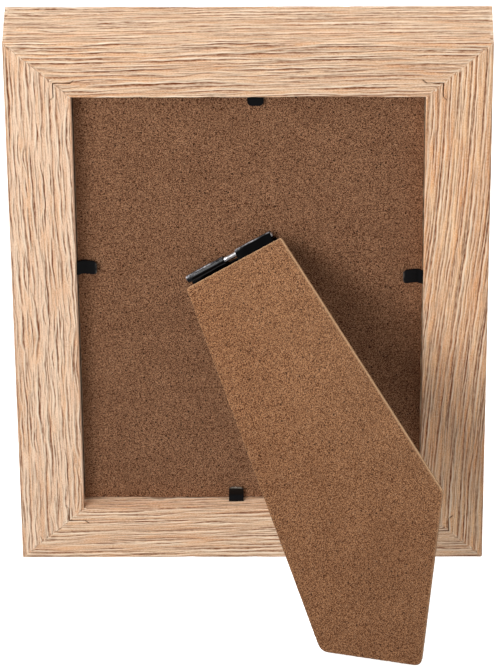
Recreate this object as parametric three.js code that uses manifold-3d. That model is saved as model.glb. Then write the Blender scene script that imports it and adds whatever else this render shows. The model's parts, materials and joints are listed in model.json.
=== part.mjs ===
// Tabletop coin display frame with a slanted easel strut, in millimetres, +Z up.
// Four mitred rails hold a glazing sheet, a window mat, a coin tray and a back panel.
// The frame stands in portrait on the strut, facing -Y, with the strut behind it at +Y.
// "left" and "right" are as seen from the front, so right is +X.
import * as THREE from "three";
import { mergeVertices } from "three/addons/utils/BufferGeometryUtils.js";
import Module from "manifold-3d";

const wasm = await Module();
wasm.setup();

// ---- Driving dimensions -------------------------------------------------------------
const OPENING = { width: 103, height: 154 }; // between the rails, seen from the back
const RAIL_WIDTH = 19.3; // outer edge to opening
const RAIL_DEPTH = 19; // front face to back face
const LIP = { width: 5.5, thickness: 4 }; // the front edge that holds the glazing
const ARRIS = 0.5; // the small bevel on the long edges of the rails
const MITRE_GAP = 0.1;
const LEAN = THREE.MathUtils.degToRad(15.5); // how far the frame tips back

const RECESS = 5.55; // back face of the rails down to the back panel
const PANEL_THICKNESS = 2.5;
const GLAZING_THICKNESS = 2;
const MAT_THICKNESS = 1.3;
const STACK_GAP = 0.2; // between neighbouring sheets
const SHEET_PLAY = 0.4; // between a sheet and the rails, each side

const COINS = { columns: 2, rows: 3, pitchX: 42, pitchZ: 45 };
const WINDOW_RADIUS = 15.5; // round windows in the mat
const POCKET_RADIUS = 17.2; // round pockets in the tray
const POCKET_FLOOR = 0.9;

const NAIL = { leg: 4.9, flare: 1.1, thickness: 0.5, height: 7, clearance: 0.1 };
const NAIL_INSET = { top_right: 5, bottom_right: 4.5, top_left: 4.9, bottom_left: 8.8 };

const TAB = { width: 4.8, reach: 6, thickness: 0.5, root: 8, clearance: 0.1 };
const TAB_HEIGHT = 1.4; // the strip's middle above the panel, where it leaves the rail
const TAB_DIP = 0.75; // how far it dips towards the panel
const TAB_DIP_AT = 2.1; // distance of the dip from the rail
const TAB_START = 0.35; // where the bending blade begins, clear of the rail
const TAB_TIP_CUT = 1.3; // rounded corners of the tip

const HINGE = { x: 4.5, z: 113.8, tilt: THREE.MathUtils.degToRad(33.7) };
const HINGE_HEIGHT = 1.55; // pin axis above the panel
const HINGE_SHIFT = -1.9; // the barrel's middle, along the pin from the strut's middle
const HINGE_LENGTH = 30;
const KNUCKLE = { outer: 1.45, wall: 0.6 };
const KNUCKLE_GAP = { from: -3.1, to: 0.4 }; // bare pin between the two knuckles
const LEAF = { reach: 11, notch: 2.3 };
const ROLL = THREE.MathUtils.degToRad(288); // how far each leaf curls round the pin
const PIN_RADIUS = 0.72;
const SPUR = { height: 2.1, base: 0.75, tip: 0.25, from: 7, spacing: 8 };
const RIVET = { head: 1.9, shank: 1, rise: 0.55, from: 7.5, spacing: 15, clearance: 0.1 };

const STRUT = { open: THREE.MathUtils.degToRad(35.2), thickness: 3.1, width: 34 };
const STRUT_TOP = 2.3; // the board's top edge, below the pin axis
const STRUT_FACE = 1.6; // the board's inner face, off the pin axis
// How the long sides spread, below the low end and the high end of the pin.
const LOW_FLARE = Math.tan(THREE.MathUtils.degToRad(7.2));
const HIGH_FLARE = Math.tan(THREE.MathUtils.degToRad(5.8));
const LANDSCAPE_LEAN = THREE.MathUtils.degToRad(14.5); // when it stands on its left side
const STRUT_CUT = { top: 0.7, side: 1, foot: 2.4 }; // rounded corners

// ---- Sizes that follow --------------------------------------------------------------
const WIDTH = OPENING.width + 2 * RAIL_WIDTH;
const HEIGHT = OPENING.height + 2 * RAIL_WIDTH;
const LIP_FACE = LIP.thickness - RAIL_DEPTH; // where the glazing rests
const GLAZING_TOP = LIP_FACE + STACK_GAP + GLAZING_THICKNESS;
const MAT_TOP = GLAZING_TOP + STACK_GAP + MAT_THICKNESS;
const PANEL_FACE = -RECESS - PANEL_THICKNESS; // the panel's inner face
const TRAY_TOP = PANEL_FACE - STACK_GAP;
const TRAY_BOTTOM = MAT_TOP + STACK_GAP;
const PIN_Y = HINGE_HEIGHT - RECESS;

// ---- Materials ----------------------------------------------------------------------
const finish = (color, roughness, metalness = 0) => ({ color, roughness, metalness });
const OAK = finish(0xd6b28c, 0.6);
const HARDBOARD = finish(0x7a563f, 0.85);
const STRUT_BOARD = finish(0x9b6f4c, 0.85);
const BLACK_STEEL = finish(0x16161a, 0.35, 0.9);
const BRIGHT_STEEL = finish(0x8c8a86, 0.4, 1);
const GLASS = finish(0xdfeeee, 0.05);
const MAT_CARD = finish(0xe9e4d8, 0.9);
const TRAY_FLOCK = finish(0x1f2a44, 0.95);

// ---- Geometry helpers ---------------------------------------------------------------
const vec = (x, y) => new THREE.Vector2(x, y);

// A closed outline in (x, z), made a plate from y = low to y = high.
function plate(outline, low, high, holes = []) {
  const shape = new THREE.Shape(outline);
  shape.holes = holes.map((hole) => new THREE.Path(hole));
  const made = new THREE.ExtrudeGeometry(shape, { depth: high - low, bevelEnabled: false });
  return made.rotateX(Math.PI / 2).translate(0, high, 0);
}

// A closed outline in (z, y), made a bar from x = low to x = high.
function bar(outline, low, high) {
  const shape = new THREE.Shape(outline);
  const made = new THREE.ExtrudeGeometry(shape, { depth: high - low, bevelEnabled: false });
  return made.rotateY(-Math.PI / 2).translate(high, 0, 0);
}

function rectangle(width, height, middleZ = 0) {
  const [x, z] = [width / 2, height / 2];
  return [vec(-x, middleZ - z), vec(x, middleZ - z), vec(x, middleZ + z), vec(-x, middleZ + z)];
}

function circle(x, z, radius, steps = 40) {
  return new THREE.Path().absarc(x, z, radius, 0, 2 * Math.PI).getPoints(steps).slice(0, -1);
}

// The outline of a strip of even thickness that follows a line of points.
function stripOutline(line, thickness) {
  const steps = line.slice(1).map((point, i) => point.clone().sub(line[i]).normalize());
  const normals = steps.map((step) => vec(-step.y, step.x));
  const side = (sign) =>
    line.map((point, i) => {
      const after = normals[Math.min(i, normals.length - 1)];
      const middle = normals[Math.max(i - 1, 0)].clone().add(after).normalize();
      return point.clone().addScaledVector(middle, (sign * thickness) / 2 / middle.dot(after));
    });
  return [...side(1), ...side(-1).reverse()];
}

// Corners are [x, z, trim]: each is rounded off between points one trim away from it.
function roundedOutline(corners) {
  const points = corners.map(([x, z]) => vec(x, z));
  return points.flatMap((corner, i) => {
    const trim = corners[i][2];
    const towards = (other) => corner.clone().add(other.clone().sub(corner).setLength(trim));
    const start = towards(points.at(i - 1));
    const end = towards(points[(i + 1) % points.length]);
    return new THREE.QuadraticBezierCurve(start, corner, end).getPoints(5);
  });
}

function solid(geometry) {
  const bare = new THREE.BufferGeometry();
  const source = geometry.index ? geometry.toNonIndexed() : geometry;
  bare.setAttribute("position", source.getAttribute("position"));
  const merged = mergeVertices(bare, 1e-4);
  const vertProperties = merged.attributes.position.array;
  const triVerts = new Uint32Array(merged.index.array);
  return new wasm.Manifold(new wasm.Mesh({ numProp: 3, vertProperties, triVerts }));
}

function geometryOf(manifold) {
  const { vertProperties, triVerts } = manifold.getMesh();
  const geometry = new THREE.BufferGeometry();
  geometry.setAttribute("position", new THREE.BufferAttribute(vertProperties, 3));
  geometry.setIndex(new THREE.BufferAttribute(triVerts, 1));
  return geometry;
}

const cut = (base, tools) =>
  geometryOf(tools.reduce((left, tool) => left.subtract(solid(tool)), solid(base)));
const join = (pieces) =>
  geometryOf(pieces.map(solid).reduce((whole, piece) => whole.add(piece)));

function addMesh(group, name, geometry, look) {
  const mesh = new THREE.Mesh(geometry, new THREE.MeshStandardMaterial(look));
  mesh.name = name;
  group.add(mesh);
}

// ---- Where things sit ---------------------------------------------------------------
// Each side of the frame: the turn that points local +Z into the opening, the middle of
// its outer edge, and the place of its tab along it.
const SIDES = {
  bottom: { turn: 0, x: 0, z: 0, length: WIDTH, tab: { x: 4.8, z: 0 } },
  top: { turn: Math.PI, x: 0, z: HEIGHT, length: WIDTH, tab: { x: -2, z: 0 } },
  right: { turn: -Math.PI / 2, x: WIDTH / 2, z: HEIGHT / 2, length: HEIGHT, tab: { x: 0, z: 12.3 } },
  left: { turn: Math.PI / 2, x: -WIDTH / 2, z: HEIGHT / 2, length: HEIGHT, tab: { x: 0, z: 8.8 } },
};

const CORNERS = {
  top_right: { x: 1, z: 1 },
  bottom_right: { x: 1, z: -1 },
  top_left: { x: -1, z: 1 },
  bottom_left: { x: -1, z: -1 },
};

function sideMatrix({ turn, x, z }) {
  return new THREE.Matrix4().makeRotationY(turn).setPosition(x, 0, z);
}

// A tab's frame: origin where its strip leaves the rail, +Z into the opening, +Y outwards.
function tabMatrix({ turn, x, z, tab }) {
  const rotation = new THREE.Matrix4().makeRotationY(turn);
  const inward = new THREE.Vector3(0, 0, RAIL_WIDTH).applyMatrix4(rotation);
  return rotation.setPosition(x + tab.x + inward.x, TAB_HEIGHT - RECESS, z + tab.z + inward.z);
}

// The hinge's frame: +X along the pin, +Y out of the back, +Z down the strut.
const hingeMatrix = new THREE.Matrix4()
  .makeRotationY(Math.PI + HINGE.tilt)
  .setPosition(HINGE.x, PIN_Y, HINGE.z);

// ---- Rails --------------------------------------------------------------------------
// The section is (distance in from the outer edge, y), y = 0 at the back face.
function railSection() {
  const lipEdge = RAIL_WIDTH + LIP.width;
  return [
    vec(0, -ARRIS),
    vec(0, ARRIS - RAIL_DEPTH),
    vec(ARRIS, -RAIL_DEPTH),
    vec(lipEdge - ARRIS, -RAIL_DEPTH),
    vec(lipEdge, ARRIS - RAIL_DEPTH),
    vec(lipEdge, LIP_FACE),
    vec(RAIL_WIDTH, LIP_FACE),
    vec(RAIL_WIDTH, -ARRIS / 2),
    vec(RAIL_WIDTH - ARRIS / 2, 0),
    vec(ARRIS, 0),
  ];
}

// A bar of that section, along x, whose ends slope at 45 degrees.
function mitredRail(length) {
  const blank = new THREE.ExtrudeGeometry(new THREE.Shape(railSection()), {
    depth: 1,
    bevelEnabled: false,
  });
  const place = blank.getAttribute("position");
  for (let i = 0; i < place.count; i++) {
    const inward = place.getX(i);
    const half = length / 2 - inward - MITRE_GAP;
    place.setXYZ(i, place.getZ(i) > 0.5 ? -half : half, place.getY(i), inward);
  }
  return blank;
}

function nailLine({ x, z }, inset) {
  const at = (dx, dz) =>
    vec(x * (OPENING.width / 2 + inset + dx), HEIGHT / 2 + z * (OPENING.height / 2 + inset + dz));
  const { leg, flare } = NAIL;
  return [at(flare, -leg - flare), at(0, -leg), at(0, 0), at(-leg, 0), at(-leg - flare, flare)];
}

function nail(name, grow) {
  const line = nailLine(CORNERS[name], NAIL_INSET[name]);
  return plate(stripOutline(line, NAIL.thickness + 2 * grow), -NAIL.height - grow, grow);
}

function tabRoot(grow) {
  const half = TAB.thickness / 2 + grow;
  const outline = [vec(-TAB.root - grow, -half), vec(grow, -half), vec(grow, half)];
  outline.push(vec(-TAB.root - grow, half));
  return bar(outline, -TAB.width / 2 - grow, TAB.width / 2 + grow);
}

function addRails(group) {
  const nails = Object.keys(CORNERS).map((name) => nail(name, NAIL.clearance));
  for (const [name, side] of Object.entries(SIDES)) {
    const rail = mitredRail(side.length).applyMatrix4(sideMatrix(side));
    const slot = tabRoot(TAB.clearance).applyMatrix4(tabMatrix(side));
    addMesh(group, "rail_" + name, cut(rail, [...nails, slot]), OAK);
  }
  for (const name of Object.keys(CORNERS)) {
    addMesh(group, "v_nail_" + name, nail(name, 0).translate(0, -NAIL.clearance, 0), BRIGHT_STEEL);
  }
}

// ---- Retaining tabs -----------------------------------------------------------------
// One flexible strip each: its root is driven into the rail, its blade holds the panel.
function tabBlade() {
  const line = [vec(TAB_START, 0), vec(TAB_DIP_AT, -TAB_DIP), vec(TAB.reach, 0)];
  const half = TAB.width / 2;
  const strip = bar(stripOutline(line, TAB.thickness), -half, half);
  const plan = roundedOutline([
    [-half, 0, 0.1],
    [half, 0, 0.1],
    [half, TAB.reach, TAB_TIP_CUT],
    [-half, TAB.reach, TAB_TIP_CUT],
  ]);
  return geometryOf(solid(strip).intersect(solid(plate(plan, -RECESS, RECESS))));
}

function addTabs(group) {
  for (const [name, side] of Object.entries(SIDES)) {
    const place = tabMatrix(side);
    addMesh(group, "tab_root_" + name, tabRoot(0).applyMatrix4(place), BLACK_STEEL);
    addMesh(group, "tab_" + name, tabBlade().applyMatrix4(place), BLACK_STEEL);
  }
}

// ---- Sheets -------------------------------------------------------------------------
function sheet(low, high, holes = []) {
  const width = OPENING.width - 2 * SHEET_PLAY;
  const height = OPENING.height - 2 * SHEET_PLAY;
  return plate(rectangle(width, height, HEIGHT / 2), low, high, holes);
}

function coinCircles(radius) {
  const circles = [];
  for (let column = 0; column < COINS.columns; column++) {
    for (let row = 0; row < COINS.rows; row++) {
      const x = (column - (COINS.columns - 1) / 2) * COINS.pitchX;
      const z = HEIGHT / 2 + (row - (COINS.rows - 1) / 2) * COINS.pitchZ;
      circles.push(circle(x, z, radius));
    }
  }
  return circles;
}

function coinTray() {
  const floor = TRAY_TOP - POCKET_FLOOR;
  const pockets = coinCircles(POCKET_RADIUS).map((ring) => plate(ring, TRAY_BOTTOM - 1, floor));
  return cut(sheet(TRAY_BOTTOM, TRAY_TOP), pockets);
}

function rivetPlaces() {
  return [-1, 1].map((side) =>
    new THREE.Matrix4().makeTranslation(HINGE_SHIFT + (side * RIVET.spacing) / 2, 0, RIVET.from),
  );
}

// The panel has a hole for each rivet, widened on the inside for its spread tail.
function backPanel() {
  const bore = RIVET.shank + RIVET.clearance;
  const sink = RIVET.head + RIVET.clearance;
  const holes = rivetPlaces().flatMap((place) => {
    const through = new THREE.CylinderGeometry(bore, bore, 4 * PANEL_THICKNESS, 24);
    const widened = new THREE.CylinderGeometry(sink, sink, 2 * RIVET.rise + 0.4, 24);
    widened.translate(0, PANEL_FACE - PIN_Y, 0);
    const toPanel = hingeMatrix.clone().multiply(place);
    return [through, widened].map((tool) => tool.applyMatrix4(toPanel));
  });
  return cut(sheet(PANEL_FACE, -RECESS), holes);
}

function addSheets(group) {
  addMesh(group, "glazing", sheet(LIP_FACE + STACK_GAP, GLAZING_TOP), GLASS);
  const mat = sheet(GLAZING_TOP + STACK_GAP, MAT_TOP, coinCircles(WINDOW_RADIUS));
  addMesh(group, "window_mat", mat, MAT_CARD);
  addMesh(group, "coin_tray", coinTray(), TRAY_FLOCK);
  addMesh(group, "back_panel", backPanel(), HARDBOARD);
}

// ---- Hinge --------------------------------------------------------------------------
// A leaf's edge view: a flat strip, then a roll round the pin. side is +1 above, -1 below.
function leafRoll(side, reach) {
  const radius = KNUCKLE.outer - KNUCKLE.wall / 2;
  const line = [vec(reach, side * radius)];
  const steps = 14;
  for (let i = 0; i <= steps; i++) {
    const angle = Math.PI / 2 + (i / steps) * ROLL;
    line.push(vec(radius * Math.cos(angle), side * radius * Math.sin(angle)));
  }
  return stripOutline(line, KNUCKLE.wall);
}

function knuckle(side, from, to) {
  return bar(leafRoll(side, LEAF.notch + 1), HINGE_SHIFT + from, HINGE_SHIFT + to);
}

function leafPlate(side) {
  const [inner, outer] = [KNUCKLE.outer - KNUCKLE.wall, KNUCKLE.outer];
  const [low, high] = side > 0 ? [inner, outer] : [-outer, -inner];
  const half = HINGE_LENGTH / 2;
  const [near, far] = [LEAF.notch, LEAF.reach];
  const corners = [
    [HINGE_SHIFT - half, near, 0.3],
    [HINGE_SHIFT + half, near, 0.3],
    [HINGE_SHIFT + half, far, 2],
    [HINGE_SHIFT - half, far, 2],
  ];
  return plate(roundedOutline(corners), low, high);
}

function fixedLeaf() {
  const whole = join([leafPlate(-1), knuckle(-1, -HINGE_LENGTH / 2, KNUCKLE_GAP.from)]);
  const bore = RIVET.shank + RIVET.clearance;
  const holes = rivetPlaces().map((place) =>
    new THREE.CylinderGeometry(bore, bore, 6, 24).applyMatrix4(place),
  );
  return cut(whole, holes);
}

function spurPlaces() {
  return [-1, 0, 1].map((step) => HINGE_SHIFT + step * SPUR.spacing);
}

function movingLeaf() {
  const spurs = spurPlaces().map((x) => {
    const spur = new THREE.CylinderGeometry(SPUR.tip, SPUR.base, SPUR.height + 0.3, 10);
    return spur.translate(x, KNUCKLE.outer + SPUR.height / 2 - 0.15, SPUR.from);
  });
  return join([leafPlate(1), knuckle(1, KNUCKLE_GAP.to, HINGE_LENGTH / 2), ...spurs]);
}

function hingePin() {
  const half = HINGE_LENGTH / 2 + 0.3;
  const profile = [vec(0, -half), vec(PIN_RADIUS - 0.2, -half), vec(PIN_RADIUS, 0.2 - half)];
  profile.push(vec(PIN_RADIUS, half - 0.2), vec(PIN_RADIUS - 0.2, half), vec(0, half));
  return new THREE.LatheGeometry(profile, 20).rotateZ(-Math.PI / 2).translate(HINGE_SHIFT, 0, 0);
}

// Turned about y: a low domed head on the leaf, the shank, and the tail spread in the panel.
function rivet() {
  const onLeaf = KNUCKLE.wall - KNUCKLE.outer + 0.05;
  const inPanel = PANEL_FACE - PIN_Y;
  const profile = [
    vec(0, inPanel),
    vec(RIVET.head - 0.3, inPanel),
    vec(RIVET.head - 0.1, inPanel + RIVET.rise - 0.1),
    vec(RIVET.shank, inPanel + RIVET.rise),
    vec(RIVET.shank, onLeaf),
    vec(RIVET.head, onLeaf),
    vec(RIVET.head * 0.85, onLeaf + RIVET.rise * 0.6),
    vec(RIVET.head * 0.5, onLeaf + RIVET.rise * 0.93),
    vec(0, onLeaf + RIVET.rise),
  ];
  return new THREE.LatheGeometry(profile, 24);
}

// ---- Strut --------------------------------------------------------------------------
// The line, on the board's inner face, that meets the table when the frame stands on the
// edge that faces "down". across and along are down's parts along the pin and across it,
// and below is how far under the pin axis that edge lies.
function footLine(lean, across, along, below) {
  const [sinOpen, cosOpen] = [Math.sin(STRUT.open), Math.cos(STRUT.open)];
  const [sinLean, cosLean] = [Math.sin(lean), Math.cos(lean)];
  const faceDrop = STRUT_FACE * (cosOpen * sinLean - along * sinOpen * cosLean);
  return {
    a: across * cosLean,
    b: along * cosOpen * cosLean + sinOpen * sinLean,
    c: below * cosLean - (PIN_Y + ARRIS) * sinLean - faceDrop,
  };
}

// Where the lines a x + b z = c of two edges cross.
function crossing(one, two) {
  const scale = one.a * two.b - two.a * one.b;
  return [(one.c * two.b - two.c * one.b) / scale, (one.a * two.c - two.a * one.c) / scale];
}

function strutOutline() {
  const [sinTilt, cosTilt] = [Math.sin(HINGE.tilt), Math.cos(HINGE.tilt)];
  const portrait = footLine(LEAN, -sinTilt, cosTilt, HINGE.z);
  const landscape = footLine(LANDSCAPE_LEAN, cosTilt, sinTilt, WIDTH / 2 + HINGE.x);
  const half = STRUT.width / 2;
  const longSide = (a, flare) => ({ a, b: -flare, c: half - flare * STRUT_TOP });
  return roundedOutline([
    [-half, STRUT_TOP, STRUT_CUT.top],
    [half, STRUT_TOP, STRUT_CUT.top],
    [...crossing(longSide(1, HIGH_FLARE), landscape), STRUT_CUT.side],
    [...crossing(landscape, portrait), STRUT_CUT.foot],
    [...crossing(portrait, longSide(-1, LOW_FLARE)), STRUT_CUT.foot],
  ]);
}

function strutBoard() {
  const board = plate(strutOutline(), STRUT_FACE, STRUT_FACE + STRUT.thickness);
  const deep = SPUR.height + 0.4;
  const sockets = spurPlaces().map((x) => {
    const socket = new THREE.CylinderGeometry(SPUR.base + 0.1, SPUR.base + 0.1, 2 * deep, 12);
    return socket.translate(x, KNUCKLE.outer, SPUR.from);
  });
  return cut(board, sockets);
}

function addHingeAndStrut(group) {
  const hinge = new THREE.Group();
  hinge.applyMatrix4(hingeMatrix);
  addMesh(hinge, "hinge_fixed_leaf", fixedLeaf(), BLACK_STEEL);
  addMesh(hinge, "hinge_pin", hingePin(), BRIGHT_STEEL);
  rivetPlaces().forEach((place, i) => {
    addMesh(hinge, "hinge_rivet_" + (i + 1), rivet().applyMatrix4(place), BLACK_STEEL);
  });
  const swing = new THREE.Group();
  swing.rotation.x = -STRUT.open;
  addMesh(swing, "hinge_moving_leaf", movingLeaf(), BLACK_STEEL);
  addMesh(swing, "strut_board", strutBoard(), STRUT_BOARD);
  hinge.add(swing);
  group.add(hinge);
}

// ---- The whole frame, tipped back, its origin under the middle of its box --------------
const leaning = new THREE.Group();
addRails(leaning);
addTabs(leaning);
addSheets(leaning);
addHingeAndStrut(leaning);
leaning.rotation.x = -LEAN;

const frame = new THREE.Group();
frame.add(leaning);
const extent = new THREE.Box3().setFromObject(frame, true);
const middle = extent.getCenter(new THREE.Vector3());
leaning.position.set(-middle.x, -middle.y, -extent.min.z);

export default frame;
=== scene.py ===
import json
import math

import bpy
import numpy as np
from mathutils import Matrix, Vector


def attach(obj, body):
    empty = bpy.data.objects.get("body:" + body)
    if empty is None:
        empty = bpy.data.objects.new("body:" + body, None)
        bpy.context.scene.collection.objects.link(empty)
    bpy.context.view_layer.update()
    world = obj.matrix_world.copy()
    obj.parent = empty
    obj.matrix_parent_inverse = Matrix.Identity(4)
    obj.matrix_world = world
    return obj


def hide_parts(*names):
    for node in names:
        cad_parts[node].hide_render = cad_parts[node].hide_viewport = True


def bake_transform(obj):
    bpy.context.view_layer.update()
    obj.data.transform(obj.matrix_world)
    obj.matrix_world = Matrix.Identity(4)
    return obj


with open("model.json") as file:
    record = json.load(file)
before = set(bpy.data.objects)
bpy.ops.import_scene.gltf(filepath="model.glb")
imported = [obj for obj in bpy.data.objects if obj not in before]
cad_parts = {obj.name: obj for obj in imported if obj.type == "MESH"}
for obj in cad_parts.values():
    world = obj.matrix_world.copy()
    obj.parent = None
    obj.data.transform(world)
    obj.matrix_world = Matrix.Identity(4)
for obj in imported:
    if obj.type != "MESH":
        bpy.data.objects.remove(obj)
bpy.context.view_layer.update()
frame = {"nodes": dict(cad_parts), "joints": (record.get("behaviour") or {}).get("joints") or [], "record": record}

# ---- Where the leaning frame is ----
# The frame leans back, so its pieces are built in its own axes: x to the right as seen
# from the front, n out of the back and v up the back. n = 0 is the back face of the rails
# and v = 0 is the lower outer edge.
MM = 0.001
mounts = {mount["name"]: mount for mount in frame["record"]["mounts"]}
joints = {joint["name"]: joint for joint in frame["joints"]}


def unit(vector):
    vector = np.array(vector, float)
    return vector / np.linalg.norm(vector)


ACROSS = np.array([1.0, 0.0, 0.0])
OUT = unit(mounts["back_face"]["axis"])
UP = -unit(mounts["bottom_face"]["axis"])


def node_points(name):
    return np.array([vertex.co for vertex in frame["nodes"][name].data.vertices], float)


def span(name, axis):
    along = node_points(name) @ axis
    return along.min(), along.max()


BACK = span("rail_top", OUT)[1]
BASE = span("rail_bottom", UP)[0]
WIDTH = span("rail_right", ACROSS)[1] - span("rail_left", ACROSS)[0]
HEIGHT = span("rail_top", UP)[1] - BASE


def to_world(x, n, v):
    """Points in the leaning frame's axes, as points in the row frame."""
    x, n, v = np.broadcast_arrays(x, n, v)
    return x[..., None] * ACROSS + (n[..., None] + BACK) * OUT + (v[..., None] + BASE) * UP


def to_leaning(points):
    return np.stack([points @ ACROSS, points @ OUT - BACK, points @ UP - BASE], -1)


# ---- Sizes ----
SHEET_PLAY = 0.4 * MM  # between the sheets and the rails
STACK_GAP = 0.2 * MM  # between neighbouring sheets
RAIL_WIDTH = WIDTH / 2 - span("back_panel", ACROSS)[1] - SHEET_PLAY
RAIL_DEPTH = BACK - span("rail_top", OUT)[0]
LIP_EDGE = span("rail_bottom", UP)[1] - BASE
LIP_FACE = span("glazing", OUT)[0] - STACK_GAP - BACK
MITRE_GAP = 0.04 * MM  # each side of the joint
RIM_SHADE_REACH = 0.45 * MM  # how far the painted shade along the outer back edge reaches
CHIP = 0.25 * MM  # depth of the splinters missing along a mitre

# Radii of a rail's soft edges.
BACK_ARRIS = 0.4 * MM
INNER_ARRIS = 0.35 * MM
FRONT_ARRIS = 0.5 * MM
ROOM = 0.06 * MM  # the bare surface lies this far in, so that its ridges stay in the box

NAIL_LEG = 4.9 * MM
NAIL_FLARE = 1.1 * MM  # how far each end turns out, sideways and lengthways
NAIL_HALF = 0.22 * MM  # half the width of the slit round the nail
NAIL_STEEL = 0.3 * MM  # thickness of the strip
NAIL_WAVE = 0.05 * MM  # depth of its corrugation
NAIL_TOP = -0.2 * MM
NAIL_GROOVE = 0.26 * MM  # depth of the slit
# Which way each corner lies in x and v.
CORNERS = {"top_right": (1, 1), "bottom_right": (1, -1), "top_left": (-1, 1), "bottom_left": (-1, -1)}


# ---- Mesh helpers ----
def signed_volume(points, faces):
    """Six times the volume inside the faces, below zero if they face in."""
    fans = [(face[0], *pair) for face in faces for pair in zip(face[1:], face[2:])]
    a, b, c = points[np.array(fans)].transpose(1, 0, 2)
    return np.sum(a * np.cross(b, c))


def add_object(name, data):
    made = bpy.data.objects.new(name, data)
    bpy.context.scene.collection.objects.link(made)
    return made


def make_mesh(name, points, faces, sharp=40):
    """A mesh object whose faces point out, smooth but for edges over so many degrees."""
    points = np.asarray(points, float).reshape(-1, 3)
    if signed_volume(points - points.mean(0), faces) < 0:
        faces = [face[::-1] for face in faces]
    mesh = bpy.data.meshes.new(name)
    mesh.from_pydata(points.tolist(), [], faces)
    mesh.validate()
    mesh.shade_smooth()
    mesh.set_sharp_from_angle(angle=math.radians(sharp))
    return add_object(name, mesh)


def grid_faces(rows, columns, around=False):
    """Quads between the points of a grid, which may close round from the last row."""
    row, column = np.meshgrid(np.arange(rows if around else rows - 1), np.arange(columns - 1))
    a = row * columns + column
    b = (row + 1) % rows * columns + column
    return np.stack([a, a + 1, b + 1, b], -1).reshape(-1, 4).tolist()


def tube(around, count):
    """Faces of a solid with so many points round each section and so many sections."""
    faces = grid_faces(around, count, around=True)
    faces.append([row * count for row in range(around)])
    faces.append([row * count + count - 1 for row in range(around)][::-1])
    return faces


def joined(parts):
    """Several pairs of points and faces as one pair."""
    points, faces, first = [], [], 0
    for some, quads in parts:
        points.append(some)
        faces += [[k + first for k in face] for face in quads]
        first += len(some)
    return np.concatenate(points), faces


def box_points(low, high):
    """The corners and faces of a box, in whichever axes its two corners are."""
    points = [(x, y, z) for x in (low[0], high[0]) for y in (low[1], high[1]) for z in (low[2], high[2])]
    faces = [[0, 1, 3, 2], [4, 6, 7, 5], [0, 4, 5, 1], [2, 3, 7, 6], [0, 2, 6, 4], [1, 5, 7, 3]]
    return np.array(points), faces


def store(made, name, values, kind="FLOAT"):
    """Keeps a value or a vector for each point, for the material to read."""
    layer = made.data.attributes.new(name, kind, "POINT")
    field = "value" if kind == "FLOAT" else "vector"
    layer.data.foreach_set(field, np.asarray(values, np.float32).ravel())


def apply_modifiers(made):
    """Replaces the object's mesh by what its modifiers make of it."""
    bpy.context.view_layer.update()
    evaluated = made.evaluated_get(bpy.context.evaluated_depsgraph_get())
    mesh = bpy.data.meshes.new_from_object(evaluated)
    made.modifiers.clear()
    made.data = mesh


def soften(made, width):
    """Rounds every edge over 35 degrees."""
    bevel = made.modifiers.new("edges", "BEVEL")
    bevel.width = width
    bevel.segments = 3
    bevel.limit_method = "ANGLE"
    bevel.angle_limit = math.radians(35)
    apply_modifiers(made)


def paint(made, material):
    made.data.materials.clear()
    made.data.materials.append(material)


def finish_piece(made, material, slot, body, *nodes):
    """Paints a piece and hides the CAD nodes it stands for; a piece with a body is attached to it."""
    paint(made, material)
    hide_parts(*nodes)
    if body:
        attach(made, body)


# ---- Material helpers ----
def linear(*rgb):
    """A colour given as 0 to 255 display values, as the renderer's linear values."""
    return tuple((c / 255 / 12.92 if c < 10.3 else ((c / 255 + 0.055) / 1.055) ** 2.4) for c in rgb)


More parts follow.
